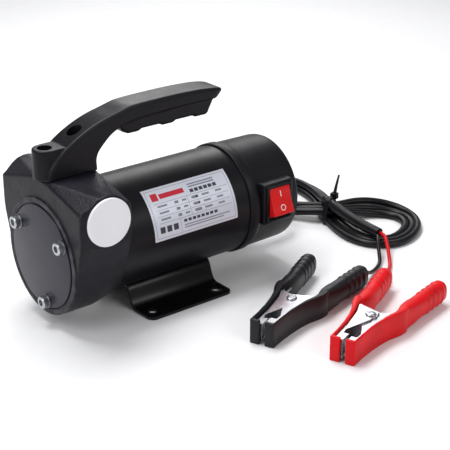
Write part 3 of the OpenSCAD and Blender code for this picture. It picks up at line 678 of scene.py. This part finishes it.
for name, side, body in (("outlet_cap", -1, "outlet_plug"), ("inlet_cap", 1, "inlet_plug")):
    profile = [(46.0, 11.7), (56.1, 11.7), (56.1, 17.9), (56.5, 18.3), (57.9, 18.3), (58.35, 18.0),
               (58.5, 17.3), (58.35, 15.5), (58.3, 0.4)]
    plug = lathe(name + "_plug", [(side * s, r) for s, r in profile], WHITE, "Y", (PORT_X, PORT_Z))
    shown(plug, body, "white_plastic", name)


# ---------------------------------------------------------------- carry handle

def rounded_section(top, bottom, half, corner_top, corner_bottom, steps=5):
    """A rounded upright rectangle between a top and a bottom point [x, z], half its width each side."""
    top, bottom = Vector(top), Vector(bottom)
    down = bottom - top
    tall = down.length
    down.normalize()
    ring = []
    for cy, cd, r, start in ((half - corner_top, corner_top, corner_top, -90),
                             (half - corner_bottom, tall - corner_bottom, corner_bottom, 0),
                             (-half + corner_bottom, tall - corner_bottom, corner_bottom, 90),
                             (-half + corner_top, corner_top, corner_top, 180)):
        for i in range(steps + 1):
            turn = math.radians(start + 90 * i / steps)
            y = cy + r * math.cos(turn)
            depth = cd + r * math.sin(turn)
            p = top + down * depth
            ring.append((p.x, y, p.y))
    return ring


ARM = [
    # top x, z, underside x, z, half width
    (-102.3, 117.3, -58.4, 117.0, 12.9), (-100.6, 121.4, -58.6, 120.5, 12.8),
    (-97.2, 126.8, -58.6, 124.6, 12.6), (-93, 131.6, -57.8, 128.0, 12.5),
    (-87.6, 136.4, -56.2, 130.8, 12.5), (-80, 141.9, -53.6, 133.8, 12.5),
    (-71, 147.0, -50.2, 137.0, 12.5), (-60, 151.8, -45.6, 140.8, 12.5),
    (-50, 154.9, -39.6, 144.0, 12.5), (-40, 157.2, -32.4, 146.4, 12.5),
    (-28, 159.9, -23.0, 147.9, 12.5), (-15, 160.6, -12.0, 148.8, 12.5),
    (0, 160.9, 2.0, 149.4, 12.5), (20, 160.9, 18.0, 149.8, 12.5),
    (40, 160.2, 34.0, 150.0, 12.5), (50, 159.3, 44.0, 150.0, 12.5),
    (56, 158.3, 50.0, 149.8, 12.3), (59.6, 157.2, 53.0, 149.6, 11.6), (61.2, 155.9, 54.8, 149.7, 10.0),
    (61.7, 155.0, 55.6, 150.0, 8.2)
]


def ridge(x):
    """1 on the low ridges between the finger grooves, 0 in the grooves."""
    reach = min(abs(x + 22.2), abs(x - 9.8), abs(x - 41.5))
    t = min(1.0, max(0.0, (7.9 - reach) / 3.6))
    return t * t * (3 - 2 * t)


def make_handle():
    line = curved([(a, b, 0) for a, b, _, _, _ in ARM], 3)
    under = curved([(c, d, 0) for _, _, c, d, _ in ARM], 3)
    widths = curved([(w, 0, 0) for *_, w in ARM], 3)
    rings = [rounded_section((p.x, p.y), (q.x, q.y), w.x, 2.6, 2.2) for p, q, w in zip(line, under, widths)]
    arm = loft("arm", rings, PLASTIC, sharp=40)
    grip_rings = []
    for i in range(85):
        x = -38 + 84.6 * i / 84
        low = 138.4 - 1.5 * ridge(x)
        blend = min(1.0, max(0.0, (x + 38) / 8.0))
        low = 147.0 + (low - 147.0) * blend * blend * (3 - 2 * blend)
        slant = 8.0 * max(0.0, (x - 38) / 8.6) ** 2
        grip_rings.append(rounded_section((x + slant, 152.0), (x, low), 8.6, 0.6, 3.0))
    grip = loft("grip", grip_rings, PLASTIC, sharp=40)
    boss = lathe("boss", [(116.8, 9.7), (138.6, 9.4), (139.2, 9.1), (139.5, 8.6), (139.5, 0.3)], PLASTIC,
                 "Z", (-96, 0), sides=64)
    web = hull("web", [(-96, side * 9.3, z) for side in (-1, 1) for z in (118, 139.4)]
               + [(-82, side * 9.3, z) for side in (-1, 1) for z in (118, 139.6)], PLASTIC)
    body = fused("carry_handle_grip", [arm, grip, boss, web], 0.7, 3, sharp=50)
    for x in (-96, -70):
        cut(body, lathe("bore", [(124 if x == -96 else 126, 5.65), (170, 5.65)], PLASTIC, "Z", (x, 0), sides=64))
    return body


shown(make_handle(), "pump", "black_plastic", "carry_handle")


# ---------------------------------------------------------------- motor

shown(lathe("drum_shell", [(-59.4, 42.0), (-59.4, 43.6), (-59.0, 44.0), (62.2, 44.0), (62.5, 43.7), (62.5, 42)],
            DRUM, at=(0, SHAFT_Z), sides=160), "pump", "drum_paint", "motor_drum")

cap_shell = lathe("cap_shell", [
    (62.5, 42.0), (62.5, 44.8), (62.9, 45.3), (63.6, 45.6), (70.2, 45.6), (71.2, 45.4), (72.2, 44.8),
    (73.4, 44.5), (90, 44.2), (109, 43.85), (111.6, 43.5), (113.0, 42.9), (113.8, 42.1), (114.0, 41.2),
    (114.0, 0.5)], CAP_PLASTIC, at=(0, SHAFT_Z), sides=160)


def make_pad():
    outline = [(74, 47.8), (104, 47.8), (104, 82.2), (74, 82.2)]
    return bevelled(prism("pad", outline, -47, -34, CAP_PLASTIC, "Y"), 1.4, 4)


shown(joined("end_cap_shell", [cap_shell, make_pad()]), "pump", "black_plastic", "end_cap")


def pan_screw(name, x, y, z, radius, height):
    rings = [(x, radius), (x + height * 0.55, radius), (x + height * 0.9, radius * 0.72), (x + height, radius * 0.3)]
    head = lathe(name, rings, ZINC, at=(y, z), sides=40)
    for turn in (0, 90):
        reach = radius * 0.62
        slot_cut = box("slot", (x + height * 0.5, -reach, -0.35), (x + height + 1, reach, 0.35), ZINC)
        slot_cut.data.transform(Matrix.Translation((0, y * MM, z * MM))
                                @ Matrix.Rotation(math.radians(turn), 4, "X"))
        cut(head, slot_cut)
    return head


CAP_SCREW_RING = 33
cap_heads = [pan_screw("cap_screw", 114, CAP_SCREW_RING * math.cos(math.radians(a)),
                       SHAFT_Z + CAP_SCREW_RING * math.sin(math.radians(a)), 3.5, 2) for a in (90, 214, 326)]
shown(joined("cap_pan_screws", cap_heads), "pump", "steel", "cap_screws")


def make_gland():
    collar = lathe("collar", [(113.9, 9.5), (117.2, 9.5), (118.0, 8.7), (118.0, 6.8), (118.0, 3)], CAP_PLASTIC,
                   at=GLAND_AT, sides=64)
    profile = [(117.5, 7.0)]
    for i in range(7):
        x = 119.0 + 3.1 * i
        r = 7.0 - (x - 118) * 2.5 / 24.0
        profile += [(x, r), (x + 1.7, r - 0.15), (x + 1.9, r - 0.95), (x + 2.9, r - 1.0)]
    profile += [(141.2, 4.5), (142.0, 4.1), (142.0, 3.0)]
    return joined("gland_boot", [collar, lathe("boot", profile, CAP_PLASTIC, at=GLAND_AT, sides=64)])


shown(make_gland(), "pump", "black_plastic", "cable_gland")


# ---------------------------------------------------------------- switch

def make_bezel():
    outer = prism("bezel", [(76, 49.5), (102, 49.5), (102, 80.5), (76, 80.5)], -48.5, -46.5, PLASTIC, "Y")
    window = prism("window", [(78.4, 51.4), (99.6, 51.4), (99.6, 78.6), (78.4, 78.6)], -52, -36, PLASTIC, "Y")
    return bevelled(cut(outer, window), 0.6, 3)


well = prism("well", [(77.9, 50.9), (100.1, 50.9), (100.1, 79.1), (77.9, 79.1)], -34.6, -34.2, PLASTIC, "Y")
shown(joined("switch_bezel", [make_bezel(), bevelled(well, 0.1, 1)]), "pump", "black_plastic", "switch_housing")

ROCKER_PIVOT = Matrix.Translation((0.089, -0.044, 0.065)) @ Matrix.Rotation(math.radians(-19), 4, "X")


def make_rocker():
    face = [(-8.2, 11.2), (-7.75, 7.5), (-7.4, 3), (-7.3, 0), (-7.4, -3), (-7.75, -7.5), (-8.2, -11.2)]
    back = [(-1, -11.2), (4, -7), (5, 0), (4, 7), (-1, 11.2)]
    body = bevelled(prism("rocker", face + back, -10.2, 10.2, ROCKER, "X"), 0.45, 3, angle=40)
    body.data.transform(ROCKER_PIVOT)
    return body


def make_marks():
    bar = box("bar", (-0.4, -7.85, 3.6), (0.4, -6.5, 8.6), MARK)
    rings = []
    for i in range(40):
        t = 2 * math.pi * i / 40
        rings.append([(r * math.cos(t), y, -5.6 + r * math.sin(t)) for r, y in
                      ((1.9, -6.6), (2.5, -6.6), (2.5, -7.85), (1.9, -7.85))])
    ring = loft("ring", rings, MARK, closed=True)
    both = joined("rocker_marks", [bar, ring])
    both.data.transform(ROCKER_PIVOT)
    return both


shown(make_rocker(), "rocker", "rocker_red", "switch_rocker")
shown(make_marks(), "rocker", "white_plastic")


# ---------------------------------------------------------------- rating plate

DRUM_R = 44.0
LABEL_TOP = 55.75


def on_drum(x, t, lift):
    """A point on the drum; t is the distance down the label from its top edge."""
    turn = math.radians(LABEL_TOP) - t / 44.4
    r = DRUM_R + lift
    return (x, -r * math.cos(turn), SHAFT_Z + r * math.sin(turn))


def patches(name, rects, low, high, mat):
    """Thin curved plates on the drum; each rect is x from, x to, t from, t to."""
    points, faces = [], []
    for x0, x1, t0, t1 in rects:
        steps = max(1, int((t1 - t0) / 1.5))
        start = len(points)
        for i in range(steps + 1):
            t = t0 + (t1 - t0) * i / steps
            points += [on_drum(x0, t, low), on_drum(x1, t, low), on_drum(x1, t, high), on_drum(x0, t, high)]
        for i in range(steps):
            a, b = start + 4 * i, start + 4 * (i + 1)
            faces += [(a + k, a + (k + 1) % 4, b + (k + 1) % 4, b + k) for k in range(4)]
        last = start + 4 * steps
        faces += [(start + 3, start + 2, start + 1, start), (last, last + 1, last + 2, last + 3)]
    return mesh_piece(name, points, faces, mat, 25)


# label: left end, width, height
LX, LW, LT = -30.5, 79.5, 42.0
shown(patches("label_plate", [(LX, LX + LW, 0.2, LT)], 0.02, 0.30, FOIL), "pump", "label_foil", "rating_plate")


def label_rect(s0, s1, t0, t1):
    return (LX + s0, LX + s1, t0, t1)


lines = [label_rect(2, LW - 2, 2, 2.3), label_rect(2, LW - 2, LT - 2.2, LT - 1.9),
         label_rect(2, 2.3, 2, LT - 1.9), label_rect(LW - 2.3, LW - 2, 2, LT - 1.9)]
lines += [label_rect(6, LW - 4, t, t + 0.3) for t in (13.5, 18.6, 23.6, 28.6)]
lines += [label_rect(36.5, 36.8, 13.5, 28.6), label_rect(25, 25.3, 28.6, LT - 3), label_rect(50, 50.3, 23.6, 28.6)]
shown(patches("label_lines", lines, 0.30, 0.34, INK_GREY), "pump", "label_foil")
dashes = []
for row, t in enumerate((15.2, 20.3, 25.3)):
    for s, w in ((8, 9), (24, 3), (31, 4), (40, 4 + row), (50, 7), (63, 6)):
        dashes.append(label_rect(s, s + w, t, t + 1.5))
dashes += [label_rect(41, 66, 4.4 + 2.1 * i, 5.6 + 2.1 * i) for i in range(2)]
dashes += [label_rect(28 + 0.001 * i, 72 - 6 * (i % 2), 34.4 + 1.9 * i, 35.3 + 1.9 * i) for i in range(2)]
shown(patches("label_small_marks", dashes, 0.30, 0.34, INK_GREY), "pump", "label_foil")
bold = [label_rect(41 + 4.4 * i, 44.4 + 4.4 * i, 9.2, 12.0) for i in range(6)]
bold += [label_rect(24, 27.4, t, t + 2.0) for t in (15.0, 20.1, 25.1)]
bold += [label_rect(41, 46.5, t, t + 2.0) for t in (15.0, 20.1, 25.1)]
bold += [label_rect(28 + 4.2 * i, 31 + 4.2 * i, 30.4, 32.6) for i in range(8)]
bold += [label_rect(5.5 + 6.2 * i, 10 + 6.2 * i, 31.6, 36.4) for i in range(3)]
shown(patches("label_bold_marks", bold, 0.30, 0.34, INK), "pump", "label_foil")
reds = [label_rect(5.5, 11.5, 5.0, 11.2), label_rect(13, 36, 6.4, 10.4)]
shown(patches("label_red_blocks", reds, 0.30, 0.35, INK_RED), "pump", "label_foil")


# ---------------------------------------------------------------- foot bracket

def make_bracket():
    top = arc(0, SHAFT_Z, 44.1, -67.4, -112.6, 24)
    left = [(-18.5, 18), (-19.9, 16.3), (-20.7, 14.2), (-21.6, 11.5), (-22.7, 8.7), (-23.9, 6.2), (-25.4, 4.1),
            (-27.2, 2.9), (-29.2, 2.5), (-50, 2.5), (-50, 0), (-28.6, 0), (-26.2, 0.4), (-24.2, 1.5),
            (-22.6, 3.2), (-21.2, 5.6), (-19.8, 8.8), (-18.8, 11.6), (-18.1, 13.8), (-17.2, 15.4), (-15.6, 15.9)]
    under = arc(0, SHAFT_Z, 46.6, -108.5, -71.5, 20)
    right = [(-y, z) for y, z in reversed(left)]
    outline = top + left + under + right
    sheet = prism("bracket", outline, -40, 40, BRACKET, "X")
    for x in (-31, 31):
        for y in (-39, 39):
            cut(sheet, lathe("hole", [(-2, 3.5), (6, 3.5)], BRACKET, "Z", (x, y), sides=48))
    for sx in (-1, 1):
        for sy in (-1, 1):
            rounding = [(sx * u, sy * v) for u, v in arc(34, 44, 6, 0, 90, 10)]
            outer = [(sx * 34, sy * 51), (sx * 41, sy * 51), (sx * 41, sy * 44)]
            cut(sheet, prism("corner", rounding + outer, -2, 6, BRACKET, "Z"))
    return bevelled(sheet, 0.45, 2, angle=50)


shown(make_bracket(), "pump", "drum_paint", "foot_bracket")


# ---------------------------------------------------------------- battery clamps

CLAMP_H = 20.0


def place_clamp(obj, at, turn, side):
    obj.data.transform(Matrix.Translation((at[0] * MM, at[1] * MM, 0))
                       @ Matrix.Rotation(math.radians(turn), 4, "Z") @ Matrix.Diagonal((1, side, 1, 1)))
    tidy_mesh(obj, 40)
    return obj


def obround(u, v, wide, tall, lean, power=2.6, steps=32):
    """A rounded section across the handle: wide is its half width in v, tall its half height in z."""
    ring = []
    for k in range(steps):
        t = 2 * math.pi * k / steps
        c, s = math.cos(t), math.sin(t)
        dv = wide * math.copysign(abs(c) ** (2 / power), c)
        dz = tall * math.copysign(abs(s) ** (2 / power), s)
        ring.append((u - dv * math.sin(lean), v + dv * math.cos(lean), CLAMP_H / 2 + dz))
    return ring


def make_grip(name, mat):
    body = prism("body", [
        (-49, 2.2), (-49, 10.0), (-36, 10.4), (-22, 11.5), (-10, 13.4), (0, 15.8), (8, 19.2), (12, 20.6),
        (17, 21.6), (21, 21.4), (22, 18.4), (16, 15.6), (10, 15.4), (0, 12.4), (-20, 9.2), (-46.1, 8.2),
        (-46.1, 2.2)], 0.05, CLAMP_H - 0.05, mat)
    body = bevelled(body, 0.9, 3, angle=40)
    lean = math.radians(7)
    rings = []
    for u, v, wide, tall, power in ((9, 17.3, 1.6, 9.0, 6), (13, 17.6, 2.6, 9.4, 5), (18, 17.4, 3.9, 9.5, 4.5),
                                    (24, 17.2, 5.0, 9.4, 4), (30, 17.6, 5.9, 9.2, 3.4), (36, 18.1, 6.4, 8.9, 3)):
        rings.append(obround(u, v, wide, tall, lean, power))
    u = 38.0
    while u < 78.5:
        v = 17.8 + (u - 34) * math.tan(lean)
        rib = 0.62 * (0.5 + 0.5 * math.cos(2 * math.pi * (u - 52) / 7.2)) ** 2.2 if u > 47 else 0.0
        rings.append(obround(u, v, 6.45 + rib, 8.7 + rib, lean))
        u += 0.6
    v = 17.8 + (79.4 - 34) * math.tan(lean)
    rings += [obround(79.0, v, 6.3, 8.5, lean), obround(79.6, v, 5.7, 7.9, lean), obround(79.7, v, 4.2, 6.2, lean)]
    arm = loft("arm", rings, mat, sharp=40)
    return joined(name, [body, arm])


def make_rivet(name):
    return lathe(name, [(1.0, 2.5), (1.0, 3.9), (1.6, 4.1), (2.15, 4.1), (2.2, 2.5), (17.8, 2.5), (17.85, 4.1),
                        (18.4, 4.1), (18.9, 3.7), (19.2, 2.9), (19.2, 2.0), (18.6, 1.6), (18.6, 0.3)],
                 ZINC, "Z", sides=40)


def make_spring(name):
    turns, r = 4, 4.2
    per_turn = 16
    stops = []
    for i in range(per_turn * turns + 1):
        t = 2 * math.pi * i / per_turn
        stops.append((r * math.cos(t), r * math.sin(t), 6.2 + 7.6 * i / (per_turn * turns)))
    return tube_mesh(name, stops, 0.8, ZINC, sides=10)


def make_leg(name, height):
    line = curved([(u, v, height) for u, v in ((-1.0, 4.1), (3.0, 4.3), (9, 8.2), (16, 11.4), (23, 12.2))], 5)
    return tube_mesh(name, line, 0.8, ZINC, sides=10)


def make_clamp(colour, at, turn, fixed_side, mat, slot):
    pieces = []
    for role, side, body, leg_z in (("fixed", fixed_side, "pump", 6.2),
                                    ("moving", -fixed_side, colour + "_lever", 13.8)):
        grip = place_clamp(make_grip(f"{colour}_clamp_{role}_grip", mat), at, turn, side)
        shown(grip, body, slot, f"{colour}_grip_{role}")
        leg = place_clamp(make_leg(f"{colour}_clamp_{role}_leg", leg_z), at, turn, side)
        shown(leg, body, "steel")
        pieces += [grip, leg, frame["nodes"][f"{colour}_jaw_{role}"]]
    rivet = place_clamp(make_rivet(f"{colour}_clamp_rivet"), at, turn, 1)
    shown(rivet, "pump", "steel", f"{colour}_rivet")
    spring = place_clamp(make_spring(f"{colour}_clamp_spring"), at, turn, 1)
    shown(spring, "pump", "steel", f"{colour}_spring")
    return pieces + [rivet, spring]


black_clamp = make_clamp("black", *BLACK_CLAMP, -1, GRIP_BLACK, "black_plastic")
red_clamp = make_clamp("red", *RED_CLAMP, 1, GRIP_RED, "red_plastic")
